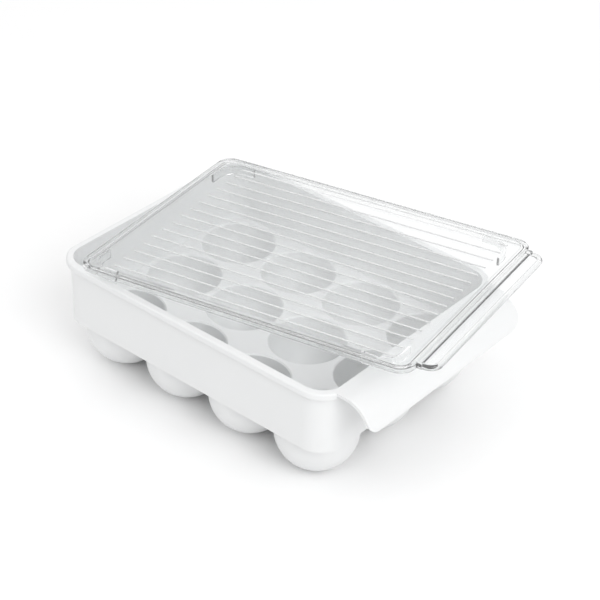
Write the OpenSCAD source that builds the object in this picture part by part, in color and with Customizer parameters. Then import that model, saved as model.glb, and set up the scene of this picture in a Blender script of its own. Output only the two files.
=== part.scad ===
// Egg keeper for a refrigerator shelf: a tray with a grid of round egg cups, a deep wall, a
// curved grip lip at one short end, and a loose clear lid with a lifting tab.
// The tray and the lid are two mouldings. Each node below is one named region of a moulding,
// and the regions of one moulding meet face to face. A cup's node has its own square of the deck.
// The origin is on the floor, under the middle of the keeper's whole footprint, lid included.
// +X runs along the keeper to the grip lip, +Y to the back and +Z up. Sizes are in millimetres.

/* [Egg cups] */
// Number of cups along the keeper
cups_long = 4; // [2:1:6]
// Number of cups across the keeper
cups_wide = 3; // [2:1:4]
// Inside radius of a cup
cup_r = 23.6; // [20:0.1:27]
// Thickness of a cup's wall
cup_wall = 1.6; // [1.2:0.1:2.4]
// Least space between the outsides of two cups
cup_space = 0.6; // [0.4:0.1:3]
// Height of the straight neck above the round bottom, up to the deck's top
cup_neck = 9; // [6:0.5:16]
// How far the mouth of a cup widens at the deck
cup_lead_in = 0.8; // [0.2:0.1:1.2]
// Depth ground flat under each cup, where it stands
foot_flat = 0.4; // [0.2:0.1:0.8]
// Thickness of the deck that joins the cups at their mouths
deck_t = 1.6; // [1:0.1:3]

/* [Tray wall] */
// Depth of the well, from the rim down to the deck
well_depth = 41; // [25:1:60]
// Space between the outer cups' squares and the wall
well_gap = 0.5; // [0.3:0.1:4]
// Inside corner radius of the well
well_r = 14; // [8:1:20]
// Thickness of the wall
wall_t = 1.8; // [1.2:0.1:3]
// How far the rim's rolled bead stands out from the wall
bead_out = 2.6; // [1.5:0.1:5]
// Height of the rim's rolled bead
bead_h = 4.5; // [3:0.1:8]
// Radius on the bead's outer edges
bead_round = 1.2; // [0.3:0.1:1.4]

/* [Grip lip] */
// Width of the lip along the short end
lip_w = 141; // [80:1:142]
// Flat stretch of the lip before it curves down
lip_flat = 6.7; // [2:0.1:20]
// Outside radius of the lip's downward curve
lip_r = 18; // [8:0.5:30]
// Thickness of the lip
lip_t = 1.9; // [1.2:0.1:3]
// Radius of the lip's two lower corners
lip_corner_r = 9; // [3:0.5:14]

/* [Lid] */
// How far the lid's edge stays inside the outside of the tray's rim
lid_inset = 0.1; // [0:0.1:1]
// How far the lid reaches past the well, over the grip lip
lid_past = 10.4; // [8:0.1:18]
// Corner radius of the lid
lid_r = 10; // [8:0.5:16]
// Height of the lid's down-turned edge
edge_h = 4.3; // [3.5:0.1:8]
// Thickness of the lid's down-turned edge
edge_t = 1.8; // [1.2:0.1:2.4]
// Width of the flat frame round the lid's ribbed field
frame_w = 5; // [4.4:0.1:7]
// Thickness of the frame's top
frame_t = 2; // [1.4:0.1:2.4]
// Radius on the frame's top outer edge
edge_round = 1.4; // [0.4:0.1:1.4]
// Depth of the ribbed field below the frame
field_recess = 1.2; // [0.6:0.1:1.5]
// Thickness of the ribbed field
field_t = 1.9; // [1.4:0.1:2.4]

/* [Lid ribs] */
// Number of ribs
rib_count = 15; // [3:1:17]
// Distance from the ribbed field's long edge to the middle of the first rib
rib_side = 5.6; // [2:0.1:30]
// Width of a rib
rib_w = 1.3; // [0.6:0.1:3]
// Height of a rib
rib_h = 0.9; // [0.4:0.1:1.1]
// Distance from the lid's left edge to the ribs
rib_left = 20; // [10:0.5:40]
// Distance from the lid's right edge to the ribs
rib_right = 13.3; // [7:0.1:40]

/* [Lid skirts] */
// Clearance between a corner skirt and the well's wall
skirt_gap = 0.8; // [0.4:0.1:1.5]
// Thickness of a corner skirt
skirt_t = 1.5; // [1:0.1:2.5]
// Length of a skirt's leg from the well's corner
skirt_leg = 21; // [16:0.5:40]
// How far a skirt reaches below the lid's edge, into the well
skirt_drop = 4; // [2:0.1:8]

/* [Lid tab] */
// Width of the ridge between the lid and its tab
ridge_w = 3.5; // [2:0.1:6]
// Width of the tab across the lid
tab_w = 143; // [60:1:146]
// How far the tab stands out past the lid's edge
tab_out = 12.7; // [11:0.1:25]
// Depth of the tab's top below the frame's top
tab_step = 1; // [0.4:0.1:1.4]
// Thickness of the tab
tab_t = 2.4; // [1.6:0.1:2.8]
// Radius of the rounded bead along the tab's edge
tab_bead_r = 1.9; // [1.5:0.1:2.4]
// Radius of the tab's two corners
tab_corner_r = 8; // [4:0.5:9]

/* [Lid at rest] */
// Turn of the lid on the tray, seen from above
lid_turn = 9.83; // [0:0.01:12]
// Rise of the lid towards its tab
lid_pitch = 2.36; // [2:0.01:4]
// Rise of the lid towards the front
lid_roll = 2.19; // [1.5:0.01:4]
// Distance of the lid's left edge from the rim's left edge
lid_shift_x = 13.5; // [13.5:0.1:16]
// Distance of the lid's middle in front of the tray's middle
lid_shift_y = 7.8; // [6:0.1:9]
// Gap left where the lid's lowest corner stands over the rim
lid_gap = 0.4; // [0.3:0.1:3]

/* [Hidden] */
$fn = 96;

// Cup heights, from the floor up
cup_out_r = cup_r + cup_wall;
cup_pitch = 2 * cup_out_r + cup_space;
cup_z = cup_out_r - foot_flat;
deck_z = cup_z + cup_neck;
rim_z = deck_z + well_depth;

// Tray outline
well_l = cups_long * cup_pitch + 2 * well_gap;
well_w = cups_wide * cup_pitch + 2 * well_gap;
wall_l = well_l + 2 * wall_t;
wall_w = well_w + 2 * wall_t;
wall_r = well_r + wall_t;
rim_l = wall_l + 2 * bead_out;
rim_w = wall_w + 2 * bead_out;
rim_r = wall_r + bead_out;

// Grip lip
lip_x = wall_l / 2;
lip_reach = lip_flat + lip_r;

// Lid outline, in the lid's own frame: its left edge at x = 0, its top at z = 0
lid_w = rim_w - 2 * lid_inset;
lid_tray_x = rim_l / 2 - lid_inset;
lid_l = lid_tray_x + well_l / 2 + lid_past;
field_z = -field_recess - field_t;
ribs_l = lid_l - rib_left - rib_right;
rib_pitch = (lid_w - 2 * (frame_w + rib_side)) / (rib_count - 1);
skirt_h = edge_h + skirt_drop + field_z;
ridge_r = ridge_w / 2;

// Lid at rest: the lowest corner's edge stands one gap over the rim
lid_x = -rim_l / 2 + lid_shift_x;
lid_y = -lid_shift_y;
lid_z = rim_z + lid_gap + cos(lid_pitch) * (edge_h * cos(lid_roll) + lid_w / 2 * sin(lid_roll));

// Middle of the footprint: the tray's left and front or the lid's corners, whichever reach out
turn_c = cos(lid_turn);
turn_s = sin(lid_turn);
tab_end_x = lid_l + tab_out - tab_corner_r;
x_high = lid_x + turn_c * tab_end_x + turn_s * (tab_w / 2 - tab_corner_r) + tab_corner_r;
x_low = min(-rim_l / 2, lid_x + turn_c * lid_r - turn_s * (lid_w / 2 - lid_r) - lid_r);
y_high = lid_y + turn_s * (lid_l - lid_r) + turn_c * (lid_w / 2 - lid_r) + lid_r;
y_low = min(-rim_w / 2, lid_y + turn_s * lid_r - turn_c * (lid_w / 2 - lid_r) - lid_r);
middle = [(x_low + x_high) / 2, (y_low + y_high) / 2, 0];

// Small overlap that lets a cutter pass clean through a face
over = 1;

// A rectangle with round corners, about its middle
module round_rect(l, w, r) {
    square([l - 2 * r, w], center = true);
    square([l, w - 2 * r], center = true);
    for (sx = [-1, 1], sy = [-1, 1])
        translate([sx * (l / 2 - r), sy * (w / 2 - r)]) circle(r);
}

// The child profile, with x outward from the line and y up, swept round a rounded rectangle
module sweep_round_rect(l, w, r) {
    for (side = [0, 180]) rotate([0, 0, side]) {
        translate([l / 2, w / 2 - r, 0]) rotate([90, 0, 0])
            linear_extrude(w - 2 * r) children();
        translate([l / 2 - r, w / 2, 0]) rotate([90, 0, -90]) mirror([1, 0, 0])
            linear_extrude(l - 2 * r) children();
    }
    for (k = [0:3])
        translate([(k == 0 || k == 3 ? 1 : -1) * (l / 2 - r), (k < 2 ? 1 : -1) * (w / 2 - r), 0])
            rotate([0, 0, k * 90]) rotate_extrude(angle = 90) translate([r, 0]) children();
}

// Middle of cup number i, counted from the front left, along the keeper first
function cup_at(i) = [
    (i % cups_long - (cups_long - 1) / 2) * cup_pitch,
    (floor(i / cups_long) - (cups_wide - 1) / 2) * cup_pitch, 0];

// Section of the rim's bead, outward from the wall's outside and down from the rim
module bead_section() {
    translate([0, -bead_h]) square([bead_out - bead_round, bead_h]);
    translate([0, bead_round - bead_h]) square([bead_out, bead_h - 2 * bead_round]);
    for (y = [bead_round - bead_h, -bead_round])
        translate([bead_out - bead_round, y]) circle(bead_round);
}

// Space that the grip lip takes from the rim's bead
module lip_slot() {
    translate([0, -lip_w / 2, rim_z - bead_h - over])
        cube([lip_x + lip_reach, lip_w, bead_h + 2 * over]);
}

module tray_wall() {
    color("white") translate(-middle) {
        translate([0, 0, deck_z - deck_t]) linear_extrude(well_depth + deck_t)
            difference() {
                round_rect(wall_l, wall_w, wall_r);
                round_rect(well_l, well_w, well_r);
            }
        difference() {
            translate([0, 0, rim_z]) sweep_round_rect(wall_l, wall_w, wall_r) bead_section();
            lip_slot();
        }
    }
}

// Where the deck is divided between two cups: edge number k of n cups, out to the wall at the ends
function deck_edge(k, n, wall) = k == 0 ? -wall : k == n ? wall : (k - n / 2) * cup_pitch;

// The deck's square round cup number i, with the cup's mouth cut out and its edge widened
module deck_square(i) {
    col = i % cups_long;
    row = floor(i / cups_long);
    x = deck_edge(col, cups_long, well_l / 2);
    y = deck_edge(row, cups_wide, well_w / 2);
    difference() {
        translate([0, 0, deck_z - deck_t]) linear_extrude(deck_t) intersection() {
            round_rect(well_l, well_w, well_r);
            translate([x, y])
                square([deck_edge(col + 1, cups_long, well_l / 2) - x,
                    deck_edge(row + 1, cups_wide, well_w / 2) - y]);
        }
        translate(cup_at(i)) {
            translate([0, 0, deck_z - deck_t - over]) cylinder(r = cup_r, h = deck_t + 2 * over);
            translate([0, 0, deck_z - cup_lead_in])
                cylinder(r1 = cup_r, r2 = cup_r + cup_lead_in, h = cup_lead_in);
            translate([0, 0, deck_z]) cylinder(r = cup_r + cup_lead_in, h = over);
        }
    }
}

// Half section of a cup, turned about its own axis: round bottom, straight neck, flat foot
module cup_section() {
    difference() {
        union() {
            translate([0, cup_z]) intersection() {
                circle(cup_out_r);
                translate([0, foot_flat - cup_out_r]) square([cup_out_r, cup_z]);
            }
            translate([0, cup_z]) square([cup_out_r, cup_neck - deck_t]);
        }
        translate([0, cup_z]) circle(cup_r);
        translate([0, cup_z]) square([cup_r, cup_neck]);
    }
}

module egg_cup(i) {
    color("white") translate(-middle) {
        translate(cup_at(i)) rotate_extrude() cup_section();
        deck_square(i);
    }
}

// Section of the grip lip, outward from the wall: flat at the rim, then curving down
module lip_section() {
    translate([-wall_r, -lip_t]) square([wall_r + lip_flat, lip_t]);
    translate([lip_flat, -lip_r]) intersection() {
        difference() {
            circle(lip_r);
            circle(lip_r - lip_t);
        }
        square(lip_r);
    }
}

// Outline of the lip seen from its end, with the two lower corners rounded
module lip_outline() {
    translate([-lip_w / 2, -lip_r + lip_corner_r]) square([lip_w, lip_r]);
    translate([-lip_w / 2 + lip_corner_r, -lip_r]) square([lip_w - 2 * lip_corner_r, lip_r]);
    for (s = [-1, 1])
        translate([s * (lip_w / 2 - lip_corner_r), -lip_r + lip_corner_r]) circle(lip_corner_r);
}

module grip_lip() {
    color("white") translate(-middle) difference() {
        translate([lip_x, 0, rim_z]) intersection() {
            translate([0, lip_w / 2, 0]) rotate([90, 0, 0]) linear_extrude(lip_w) lip_section();
            translate([-wall_r - over, 0, 0]) rotate([90, 0, 90])
                linear_extrude(wall_r + lip_reach + 2 * over) lip_outline();
        }
        translate([0, 0, rim_z - lip_r - over]) linear_extrude(lip_r + 2 * over)
            round_rect(wall_l, wall_w, wall_r);
    }
}

// Everything of the lid is drawn in the lid's own frame and laid on the tray by this
module on_tray() {
    translate([lid_x, lid_y, lid_z] - middle) rotate([-lid_roll, -lid_pitch, lid_turn]) children();
}

// Section of the lid's frame, inward from the lid's outside and down from its top
module frame_section() {
    translate([-frame_w, -frame_t]) square([frame_w - edge_round, frame_t]);
    translate([-frame_w, -frame_t]) square([frame_w, frame_t - edge_round]);
    translate([-edge_round, -edge_round]) circle(edge_round);
    translate([-edge_t, -edge_h]) square([edge_t, edge_h - edge_round]);
    translate([-frame_w, field_z]) square([edge_t, -field_z]);
}

module lid_frame() {
    color("lightblue", 0.4) on_tray() translate([lid_l / 2, 0, 0])
        sweep_round_rect(lid_l, lid_w, lid_r) frame_section();
}

module lid_field() {
    color("lightblue", 0.4) on_tray() translate([lid_l / 2, 0, field_z]) linear_extrude(field_t)
        round_rect(lid_l - 2 * frame_w, lid_w - 2 * frame_w, lid_r - frame_w);
}

module lid_ribs() {
    color("lightblue", 0.4) on_tray() for (i = [0:rib_count - 1])
        translate([rib_left, (i - (rib_count - 1) / 2) * rib_pitch - rib_w / 2, -field_recess])
            cube([ribs_l, rib_w, rib_h]);
}

// One corner skirt: sx and sy are the signs of its corner, seen from the lid's middle
module lid_skirt(sx, sy) {
    color("lightblue", 0.4) on_tray() translate([lid_tray_x, 0, field_z - skirt_h])
        linear_extrude(skirt_h) intersection() {
            difference() {
                round_rect(well_l - 2 * skirt_gap, well_w - 2 * skirt_gap, well_r - skirt_gap);
                round_rect(well_l - 2 * (skirt_gap + skirt_t), well_w - 2 * (skirt_gap + skirt_t),
                    well_r - skirt_gap - skirt_t);
            }
            translate([sx * (well_l - skirt_leg) / 2, sy * (well_w - skirt_leg) / 2])
                square(skirt_leg, center = true);
        }
}

module lid_ridge() {
    color("lightblue", 0.4) on_tray() {
        translate([lid_l, -tab_w / 2, -tab_step - tab_t]) cube([ridge_w, tab_w, tab_t]);
        intersection() {
            translate([lid_l + ridge_r, tab_w / 2, -tab_step]) rotate([90, 0, 0])
                cylinder(r = ridge_r, h = tab_w);
            translate([lid_l, -tab_w / 2, -tab_step - tab_t]) cube([ridge_w, tab_w, tab_step + tab_t]);
        }
    }
}

// Round bead along the tab's two sides, its corners and its outer edge
module tab_bead() {
    side_l = tab_out - ridge_w - tab_corner_r;
    bend_r = tab_corner_r - tab_bead_r;
    corner_x = ridge_w + side_l;
    corner_y = tab_w / 2 - tab_corner_r;
    for (s = [-1, 1]) {
        translate([ridge_w, s * (tab_w / 2 - tab_bead_r), 0]) rotate([0, 90, 0])
            cylinder(r = tab_bead_r, h = side_l);
        translate([corner_x, s * corner_y, 0]) rotate([0, 0, s > 0 ? 0 : -90])
            rotate_extrude(angle = 90) translate([bend_r, 0]) circle(tab_bead_r);
    }
    translate([tab_out - tab_bead_r, corner_y, 0]) rotate([90, 0, 0])
        cylinder(r = tab_bead_r, h = 2 * corner_y);
}

module lid_tab() {
    color("lightblue", 0.4) on_tray() translate([lid_l, 0, -tab_step - tab_t / 2]) {
        translate([0, 0, -tab_t / 2]) linear_extrude(tab_t) difference() {
            round_rect(2 * (tab_out - tab_bead_r), tab_w - 2 * tab_bead_r,
                tab_corner_r - tab_bead_r);
            translate([-tab_out, -tab_w / 2]) square([tab_out + ridge_w, tab_w]);
        }
        tab_bead();
    }
}

tray_wall();
for (i = [1:cups_long * cups_wide]) egg_cup(i - 1);
grip_lip();
lid_frame();
lid_field();
lid_ribs();
lid_skirt(-1, -1);  // lid_skirt_front_left
lid_skirt(-1, 1);  // lid_skirt_back_left
lid_skirt(1, -1);  // lid_skirt_front_right
lid_skirt(1, 1);  // lid_skirt_back_right
lid_ridge();
lid_tab();
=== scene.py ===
import math

import bmesh
import bpy
from mathutils import Matrix, Vector


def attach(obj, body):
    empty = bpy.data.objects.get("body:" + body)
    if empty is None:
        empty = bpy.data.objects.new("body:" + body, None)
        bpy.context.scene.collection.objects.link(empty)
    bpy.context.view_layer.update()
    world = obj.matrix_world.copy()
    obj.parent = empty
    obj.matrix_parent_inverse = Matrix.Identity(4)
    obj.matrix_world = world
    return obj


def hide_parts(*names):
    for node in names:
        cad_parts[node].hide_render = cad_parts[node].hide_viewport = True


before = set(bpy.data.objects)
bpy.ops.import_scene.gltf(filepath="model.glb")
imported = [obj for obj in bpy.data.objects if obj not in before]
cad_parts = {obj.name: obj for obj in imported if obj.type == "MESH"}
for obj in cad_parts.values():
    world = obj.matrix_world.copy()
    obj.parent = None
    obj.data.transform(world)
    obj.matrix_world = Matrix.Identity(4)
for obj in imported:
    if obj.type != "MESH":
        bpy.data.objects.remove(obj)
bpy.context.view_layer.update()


# ---------------------------------------------------------------- white tray plastic
# The tray is one injection moulding in white polypropylene. Its surface is satin: smooth enough
# for a soft highlight, with the faint unevenness that a moulded sheet this thin always has.
def uneven(nt, scale, detail=2.0):
    """Soft cloudy unevenness that stays fixed to the piece."""
    where = nt.nodes.new("ShaderNodeTexCoord")
    cloud = nt.nodes.new("ShaderNodeTexNoise")
    cloud.inputs["Scale"].default_value = scale
    cloud.inputs["Detail"].default_value = detail
    nt.links.new(where.outputs["Object"], cloud.inputs["Vector"])
    return cloud.outputs["Fac"]


def two_tones(nt, share, dark, light, skin):
    """Gives a surface a colour that drifts between two close tones."""
    tone = nt.nodes.new("ShaderNodeMix")
    tone.data_type = "RGBA"
    tone.inputs[6].default_value = (*dark, 1)
    tone.inputs[7].default_value = (*light, 1)
    nt.links.new(share, tone.inputs[0])
    nt.links.new(tone.outputs[2], skin.inputs["Base Color"])


def shallow_waves(nt, height, strength, skin):
    """Gives a surface the shallow waves of a cooled moulding."""
    waves = nt.nodes.new("ShaderNodeBump")
    waves.inputs["Strength"].default_value = strength
    waves.inputs["Distance"].default_value = 0.001
    nt.links.new(height, waves.inputs["Height"])
    nt.links.new(waves.outputs["Normal"], skin.inputs["Normal"])


tray_white = bpy.data.materials.new("tray_white")
tray_white.use_nodes = True
nt = tray_white.node_tree
white = nt.nodes["Principled BSDF"]
cloudy = uneven(nt, 26.0, 3.0)
two_tones(nt, cloudy, (0.765, 0.772, 0.775), (0.79, 0.796, 0.798), white)
polish = nt.nodes.new("ShaderNodeMapRange")
polish.inputs["To Min"].default_value = 0.30
polish.inputs["To Max"].default_value = 0.40
nt.links.new(cloudy, polish.inputs["Value"])
nt.links.new(polish.outputs["Result"], white.inputs["Roughness"])
white.inputs["IOR"].default_value = 1.49
white.inputs["Specular IOR Level"].default_value = 0.45
shallow_waves(nt, uneven(nt, 60.0), 0.05, white)


# ---------------------------------------------------------------- tray
# The tray's wall with its rolled rim, the twelve cups with their deck and the curved grip lip
# keep their moulded shapes. All of them are the same white plastic.
for name in ["tray_wall", "grip_lip"] + [f"egg_cup_{i}" for i in range(1, 13)]:
    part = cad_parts[name]
    part.data.materials.clear()
    part.data.materials.append(tray_white)


# ---------------------------------------------------------------- clear lid
# The lid is one injection moulding in clear polystyrene: a flat frame with a down-turned edge,
# a sunk field with fifteen thin ribs, four corner skirts that drop into the well, and a tab.
# Sizes are in mm: x along the lid from its left end, y across it, z up from the frame's top.
lid_len, lid_wid, lid_r, smallest_r = 219.7, 162.6, 10.0, 3.0
field_top, field_under, field_in, edge_round = -1.2, -3.1, 6.5, 1.4
corner_steps = 12


def lid_ring(inset, z):
    """A closed line of points round the lid, set in from its edge, with round corners."""
    half_l, half_w = (lid_len - 2 * inset) / 2, (lid_wid - 2 * inset) / 2
    r = max(lid_r - inset, smallest_r)
    ring = []
    for quarter, (sx, sy) in enumerate(((1, 1), (-1, 1), (-1, -1), (1, -1))):
        for i in range(corner_steps + 1):
            a = math.radians(90 * quarter + 90 * i / corner_steps)
            x = lid_len / 2 + sx * (half_l - r) + r * math.cos(a)
            y = sy * (half_w - r) + r * math.sin(a)
            ring.append(Vector((x, y, z)))
    return ring


def closed_solid(name, rings):
    """A closed mesh through a row of rings, capped flat at both ends."""
    bm = bmesh.new()
    rows = [[bm.verts.new(point) for point in ring] for ring in rings]
    n = len(rows[0])
    for a, b in zip(rows, rows[1:]):
        for i in range(n):
            bm.faces.new((a[i], a[(i + 1) % n], b[(i + 1) % n], b[i]))
    bm.faces.new(rows[0])
    bm.faces.new(list(reversed(rows[-1])))
    bmesh.ops.recalc_face_normals(bm, faces=bm.faces)
    mesh = bpy.data.meshes.new(name)
    bm.to_mesh(mesh)
    bm.free()
    part = bpy.data.objects.new(name, mesh)
    bpy.context.scene.collection.objects.link(part)
    return part


def fuse_on(base, part):
    """Fuses a part onto the lid's moulding and drops the loose part."""
    fuse = base.modifiers.new("fuse", "BOOLEAN")
    fuse.operation = "UNION"
    fuse.solver = "EXACT"
    fuse.object = part
    bpy.context.view_layer.objects.active = base
    bpy.ops.object.modifier_apply(modifier=fuse.name)
    bpy.data.objects.remove(part)


# The section runs from the field's top over the frame and its edge to the field's underside.
# Each pair is the inset from the lid's edge and the height.
section = [(field_in, field_top), (5.35, field_top), (5.1, -1.13), (5.0, -0.95)]
section += [(4.95, -0.3), (4.85, -0.1), (4.6, 0.0)]
for i in range(7):
    a = math.radians(90 * i / 6)
    section.append((edge_round - edge_round * math.sin(a), -edge_round + edge_round * math.cos(a)))
section += [(0.0, -4.0), (0.12, -4.22), (0.35, -4.3), (1.5, -4.3), (1.72, -4.2), (1.8, -4.0)]
section += [(1.8, -2.3), (2.1, -2.0), (2.9, -2.0), (3.15, -2.2), (3.2, -2.8)]
section += [(3.5, field_under), (field_in, field_under)]
lid = closed_solid("clear_lid", [lid_ring(inset, z) for inset, z in section])

# Thin ribs stand on the field, each with a rounded top.
rib_count, rib_pitch, rib_w, rib_h = 15, 10.1, 1.3, 0.55
rib_start, rib_end, rib_root = 20.0, 206.4, -1.5
rib_side = [(rib_w / 2, rib_root), (rib_w / 2, field_top)]
for i in range(1, 8):
    a = math.radians(90 * i / 8)
    rib_side.append((rib_w / 2 * math.cos(a), field_top + rib_h * math.sin(a)))
for i in range(rib_count):
    y = (i - (rib_count - 1) / 2) * rib_pitch
    rib_rings = [
        [
            Vector((rib_start - half, y - half, z)),
            Vector((rib_end + half, y - half, z)),
            Vector((rib_end + half, y + half, z)),
            Vector((rib_start - half, y + half, z)),
        ]
        for half, z in rib_side
    ]
    fuse_on(lid, closed_solid("rib", rib_rings))

# Four corner skirts drop from the field's underside and keep the lid centred in the well.
well_l, well_w, well_r, well_mid = 205.0, 154.0, 14.0, 106.8
skirt_gap, skirt_t, skirt_leg, skirt_top, skirt_low = 0.8, 1.5, 21.0, -2.8, -8.3
skirt_r = well_r - skirt_gap


def skirt_line(off):
    """A line along one leg of a skirt, round its corner and along the other leg."""
    x1, y1 = well_l / 2 - skirt_gap, well_w / 2 - skirt_gap
    line = [(well_l / 2 - skirt_leg, y1 - off)]
    for i in range(corner_steps + 1):
        a = math.radians(90 - 90 * i / corner_steps)
        bend = skirt_r - off
        line.append((x1 - skirt_r + bend * math.cos(a), y1 - skirt_r + bend * math.sin(a)))
    line.append((x1 - off, well_w / 2 - skirt_leg))
    return line


skirt_outline = skirt_line(0) + list(reversed(skirt_line(skirt_t)))
for sx in (-1, 1):
    for sy in (-1, 1):
        skirt_rings = [
            [Vector((well_mid + sx * x, sy * y, z)) for x, y in skirt_outline]
            for z in (skirt_top, skirt_low)
        ]
        fuse_on(lid, closed_solid("skirt", skirt_rings))

# The tab is a thin plate past a half-round ridge; a round bead runs along its free edge. All
# three begin inside the lid's edge, and the bead stays a hair within the tab's outline.
tab_w, tab_out, tab_r, tab_top, tab_mid, tab_under = 143.0, 12.7, 8.0, -1.0, -2.2, -3.4
ridge_w, ridge_h, bead_r, hair = 3.5, 1.0, 1.9, 0.02
tab_root = lid_len - 0.6
ridge_side = [(tab_root, tab_under), (tab_root, tab_top)]
for i in range(25):
    a = math.radians(180 - 180 * i / 24)
    x = lid_len + ridge_w / 2 + (ridge_w / 2) * math.cos(a)
    ridge_side.append((x, tab_top + ridge_h * math.sin(a)))
ridge_side.append((lid_len + ridge_w, tab_under))
ridge_rings = [[Vector((x, y, z)) for x, z in ridge_side] for y in (-tab_w / 2, tab_w / 2)]
fuse_on(lid, closed_solid("ridge", ridge_rings))

tab_edge = [(tab_root, -tab_w / 2 + bead_r)]
for quarter, sy in enumerate((-1, 1)):
    for i in range(corner_steps + 1):
        a = math.radians(-90 + 90 * i / corner_steps + 90 * quarter)
        bend = tab_r - bead_r
        x = lid_len + tab_out - tab_r + bend * math.cos(a)
        tab_edge.append((x, sy * (tab_w / 2 - tab_r) + bend * math.sin(a)))
tab_edge.append((tab_root, tab_w / 2 - bead_r))
tab_rings = [[Vector((x, y, z)) for x, y in tab_edge] for z in (tab_top, tab_under)]
fuse_on(lid, closed_solid("tab_plate", tab_rings))

bead_sides = 24
bead_rings = []
for k, (x, y) in enumerate(tab_edge):
    x0, y0 = tab_edge[max(k - 1, 0)]
    x2, y2 = tab_edge[min(k + 1, len(tab_edge) - 1)]
    along = Vector((x2 - x0, y2 - y0, 0)).normalized()
    outward = Vector((along.y, -along.x, 0))
    ring = []
    for i in range(bead_sides):
        a = math.radians(360 / bead_sides * i)
        lift = Vector((0, 0, (bead_r - hair) * math.sin(a)))
        ring.append(Vector((x, y, tab_mid)) + outward * (bead_r - hair) * math.cos(a) + lift)
    bead_rings.append(ring)
fuse_on(lid, closed_solid("tab_bead", bead_rings))

# The ribs' faces are marked for their own material, paler and less clear than the lid: a painted
# highlight for the bright lines their fine round tops show where they catch the light.
lid_clear = bpy.data.materials.new("lid_clear")
lid_rib_painted_highlight = bpy.data.materials.new("lid_rib_painted_highlight")
lid.data.materials.append(lid_clear)
lid.data.materials.append(lid_rib_painted_highlight)
outer_rib = (rib_count - 1) / 2 * rib_pitch
for face in lid.data.polygons:
    x, y, z = face.center
    on_ribs = rib_start - rib_w < x < rib_end + rib_w and abs(y) < outer_rib + rib_w
    face.material_index = 1 if on_ribs and z > field_top + 0.01 else 0

# The lid lies loose on the rim: shifted, turned, and tilted up at its tab and its front.
frame_middle = Vector((19.823, 10.954, 0))
on_tray = (
    Matrix.Translation(Vector((-93.4, -7.8, 82.61)) - frame_middle)
    @ Matrix.Rotation(math.radians(9.83), 4, "Z")
    @ Matrix.Rotation(math.radians(-2.36), 4, "Y")
    @ Matrix.Rotation(math.radians(-2.19), 4, "X")
)
lid.data.transform(Matrix.Scale(0.001, 4) @ on_tray)
bpy.context.view_layer.objects.active = lid
lid.select_set(True)
bpy.ops.object.shade_smooth_by_angle(angle=math.radians(32))
lid.select_set(False)
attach(lid, "lid")
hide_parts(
    "lid_frame",
    "lid_field",
    "lid_ribs",
    "lid_skirt_front_left",
    "lid_skirt_back_left",
    "lid_skirt_front_right",
    "lid_skirt_back_right",
    "lid_ridge",
    "lid_tab",
)

# Clear polystyrene: it bends light a little more than acrylic does, is faintly grey in the thick
# edges, and lets most of the lamps' light through onto the tray.
# The ribs' material is paler and less clear, a painted highlight for the bright lines on their
# round tops.
for plastic, clearness, rough, painted_highlight_lift in (
    (lid_clear, 0.97, 0.03, 0.0),
    (lid_rib_painted_highlight, 0.45, 0.25, 0.08),
):
    plastic.use_nodes = True
    nt = plastic.node_tree
    clear = nt.nodes["Principled BSDF"]
    clear.inputs["Transmission Weight"].default_value = clearness
    clear.inputs["Roughness"].default_value = rough
    clear.inputs["IOR"].default_value = 1.56
    flow = uneven(nt, 18.0)
    grey, light = (0.875, 0.882, 0.884), (0.905, 0.91, 0.912)
    # For the ribs the tones are lifted towards white as a painted highlight; the clear lid's tones
    # are not lifted.
    two_tones(nt, flow, [c + painted_highlight_lift for c in grey], [c + painted_highlight_lift for c in light], clear)
    shallow_waves(nt, flow, 0.03, clear)
    lamps_through = nt.nodes.new("ShaderNodeBsdfTransparent")
    lamps_through.inputs["Color"].default_value = (0.93, 0.935, 0.935, 1)
    path_kind = nt.nodes.new("ShaderNodeLightPath")
    share = nt.nodes.new("ShaderNodeMixShader")
    nt.links.new(path_kind.outputs["Is Shadow Ray"], share.inputs["Fac"])
    nt.links.new(clear.outputs["BSDF"], share.inputs[1])
    nt.links.new(lamps_through.outputs["BSDF"], share.inputs[2])
    nt.links.new(share.outputs["Shader"], nt.nodes["Material Output"].inputs["Surface"])


# ---------------------------------------------------------------- floor
# A plain white sheet of studio paper lies under the keeper. It takes the keeper's soft shadow
# and is wide enough to fill the view from every side.
bpy.ops.mesh.primitive_plane_add(size=24.0, location=(0, 0, 0))
sheet = bpy.context.object
sheet.name = "studio_sheet"
paper = bpy.data.materials.new("studio_paper")
paper.use_nodes = True
nt = paper.node_tree
matt = nt.nodes["Principled BSDF"]
grain = nt.nodes.new("ShaderNodeTexNoise")
grain.inputs["Scale"].default_value = 300.0
two_tones(nt, grain.outputs["Fac"], (0.93, 0.93, 0.93), (0.95, 0.95, 0.95), matt)
matt.inputs["Roughness"].default_value = 0.9
matt.inputs["Specular IOR Level"].default_value = 0.1
sheet.data.materials.append(paper)


# ---------------------------------------------------------------- studio room
# A white studio room: pure white where the camera looks at it. As a source of light it is
# bright overhead and dimmer towards the horizon, which draws the clear lid's edges.
room = bpy.data.worlds.new("studio_room")
bpy.context.scene.world = room
room.use_nodes = True
nt = room.node_tree
nt.nodes.clear()
seen = nt.nodes.new("ShaderNodeBackground")
seen.inputs["Color"].default_value = (1, 1, 1, 1)
lit = nt.nodes.new("ShaderNodeBackground")
toward = nt.nodes.new("ShaderNodeTexCoord")
parts = nt.nodes.new("ShaderNodeSeparateXYZ")
nt.links.new(toward.outputs["Generated"], parts.inputs["Vector"])
climb = nt.nodes.new("ShaderNodeMapRange")
climb.inputs["From Min"].default_value = 0.05
climb.inputs["From Max"].default_value = 0.55
climb.inputs["To Min"].default_value = 0.35
climb.inputs["To Max"].default_value = 1.0
nt.links.new(parts.outputs["Z"], climb.inputs["Value"])

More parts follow.
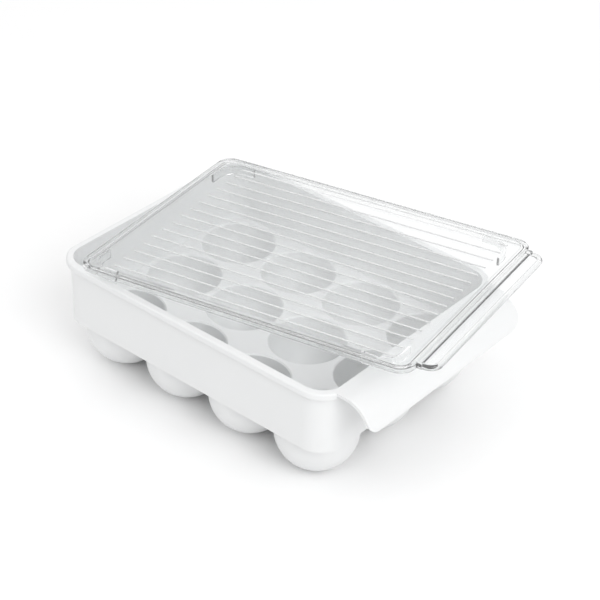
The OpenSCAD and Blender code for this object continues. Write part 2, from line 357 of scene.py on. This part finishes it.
# A soft glow low at the back, which the lid's right half mirrors towards the camera.
glow = nt.nodes.new("ShaderNodeVectorMath")
glow.operation = "DOT_PRODUCT"
glow.inputs[1].default_value = (-0.46, 0.77, 0.442)
nt.links.new(toward.outputs["Generated"], glow.inputs[0])
fade = nt.nodes.new("ShaderNodeMapRange")
fade.interpolation_type = "SMOOTHSTEP"
fade.inputs["From Min"].default_value = 0.974
fade.inputs["From Max"].default_value = 0.9986
fade.inputs["To Max"].default_value = 0.6
nt.links.new(glow.outputs["Value"], fade.inputs["Value"])
both = nt.nodes.new("ShaderNodeMath")
nt.links.new(climb.outputs["Result"], both.inputs[0])
nt.links.new(fade.outputs["Result"], both.inputs[1])
nt.links.new(both.outputs["Value"], lit.inputs["Color"])
path_kind = nt.nodes.new("ShaderNodeLightPath")
pick = nt.nodes.new("ShaderNodeMixShader")
out = nt.nodes.new("ShaderNodeOutputWorld")
nt.links.new(path_kind.outputs["Is Camera Ray"], pick.inputs["Fac"])
nt.links.new(lit.outputs["Background"], pick.inputs[1])
nt.links.new(seen.outputs["Background"], pick.inputs[2])
nt.links.new(pick.outputs["Shader"], out.inputs["Surface"])

# Two soft boxes: a large one at the right, over the grip lip, and a weak one at the front left.
lit_spot = Vector((0, 0, 0.04))
for name, place, size, power in (
    ("key_softbox", (1.3, -0.45, 1.15), 1.1, 11.5),
    ("fill_softbox", (-0.6, -1.2, 0.9), 0.9, 1.2),
):
    lamp = bpy.data.lights.new(name, "AREA")
    lamp.shape = "SQUARE"
    lamp.size = size
    lamp.energy = power
    box = bpy.data.objects.new(name, lamp)
    box.location = place
    box.rotation_euler = (lit_spot - Vector(place)).to_track_quat("-Z", "Y").to_euler()
    bpy.context.scene.collection.objects.link(box)


# ---------------------------------------------------------------- camera
# The camera stands at the front right and looks down on the keeper, a little less than half a
# right angle round from the front. Its lens is long, about 110 mm on a full-size sensor.
foc_px, picture_px, sensor = 1827.0, 600.0, 36.0
turn, tip, lean = math.radians(39.70), math.radians(34.63), math.radians(1.606)
look = Vector(
    (-math.sin(turn) * math.cos(tip), math.cos(turn) * math.cos(tip), -math.sin(tip))
)
across = look.cross(Vector((0, 0, 1))).normalized()
upward = across.cross(look)
cam_x = across * math.cos(lean) + upward * math.sin(lean)
cam_y = -across * math.sin(lean) + upward * math.cos(lean)
reach = 1.0911
aim = Vector((-0.019823, -0.010954, 0.0748))
eye = aim - look * reach + cam_x * (23.30 * reach / foc_px) - cam_y * (32.20 * reach / foc_px)
lens = bpy.data.cameras.new("studio_camera")
lens.sensor_width = sensor
lens.lens = foc_px / picture_px * sensor
lens.clip_start, lens.clip_end = 0.05, 20.0
camera = bpy.data.objects.new("studio_camera", lens)
camera.matrix_world = Matrix(
    (
        (cam_x.x, cam_y.x, -look.x, eye.x),
        (cam_x.y, cam_y.y, -look.y, eye.y),
        (cam_x.z, cam_y.z, -look.z, eye.z),
        (0, 0, 0, 1),
    )
)
bpy.context.scene.collection.objects.link(camera)
bpy.context.scene.camera = camera
bpy.context.scene.view_settings.view_transform = "Standard"
